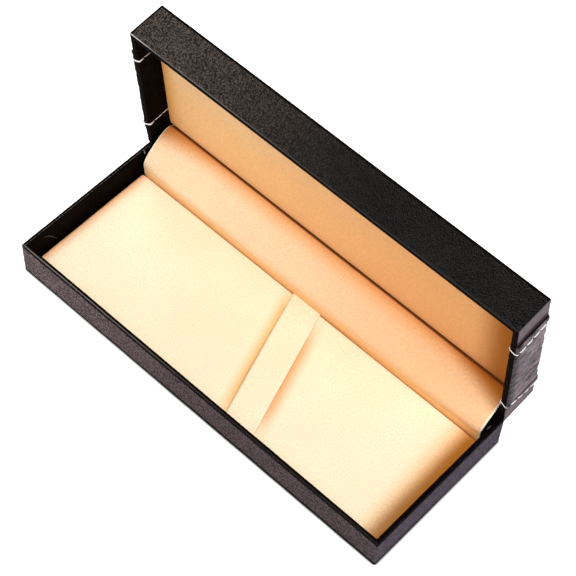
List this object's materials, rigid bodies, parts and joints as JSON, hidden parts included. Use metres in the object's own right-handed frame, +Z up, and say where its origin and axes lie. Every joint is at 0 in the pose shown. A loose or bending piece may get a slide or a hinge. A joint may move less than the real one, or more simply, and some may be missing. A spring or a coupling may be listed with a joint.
{
  "type": "pen storage box",
  "caption": "Long shallow pen case with a padded, stitched lid on concealed spring hinges, shown open, with a soft lined insert and a pen strap.",
  "frame": {"origin": "centre of the base's underside, on the surface that the box rests on", "axes": "+X along the box's length, +Y from the open front towards the hinges, +Z up"},
  "size_m": [0.1774, 0.0822, 0.0858],
  "materials": {
    "black_leather": "satin",
    "band_leather": "satin",
    "greyboard": "matte",
    "black_paper": "matte",
    "cream_flannel": "matte",
    "cream_ribbon": "matte",
    "foam": "matte",
    "plated_steel": "satin"
  },
  "bodies": {
    "base": {"base_shell": "greyboard", "base_cover": "black_leather", "base_bottom_sheet": "black_paper", "insert_platform": "greyboard", "insert_cover": "cream_flannel", "pen_strap": "cream_ribbon", "flap_card": "greyboard", "flap_cover": "cream_flannel", "hinge_base_leaf_left": "plated_steel", "hinge_base_leaf_right": "plated_steel", "hinge_pin_left": "plated_steel", "hinge_pin_right": "plated_steel", "hinge_spring_left": "plated_steel", "hinge_spring_right": "plated_steel", "base_rivet_left_outer": "plated_steel", "base_rivet_left_inner": "plated_steel", "base_rivet_right_outer": "plated_steel", "base_rivet_right_inner": "plated_steel"},
    "lid": {"lid_shell": "greyboard", "lid_front_strip": "black_leather", "lid_centre_band": "band_leather", "lid_band_padding": "foam", "lid_rear_strip": "black_leather", "lid_lining_cover": "cream_flannel", "lid_lining_foam": "foam", "lid_lining_card": "greyboard", "hinge_lid_leaf_left": "plated_steel", "hinge_lid_leaf_right": "plated_steel", "lid_rivet_left_outer": "plated_steel", "lid_rivet_left_inner": "plated_steel", "lid_rivet_right_outer": "plated_steel", "lid_rivet_right_inner": "plated_steel"}
  },
  "joints": [
    {"name": "lid_hinge", "type": "hinge", "parent": "base", "child": "lid", "pos_m": [0, 0.03335, 0.0172], "axis": [1, 0, 0], "range_deg": [0, 84.5], "deforming": ["flap_card", "flap_cover", "hinge_spring_left", "hinge_spring_right"]}
  ]
}
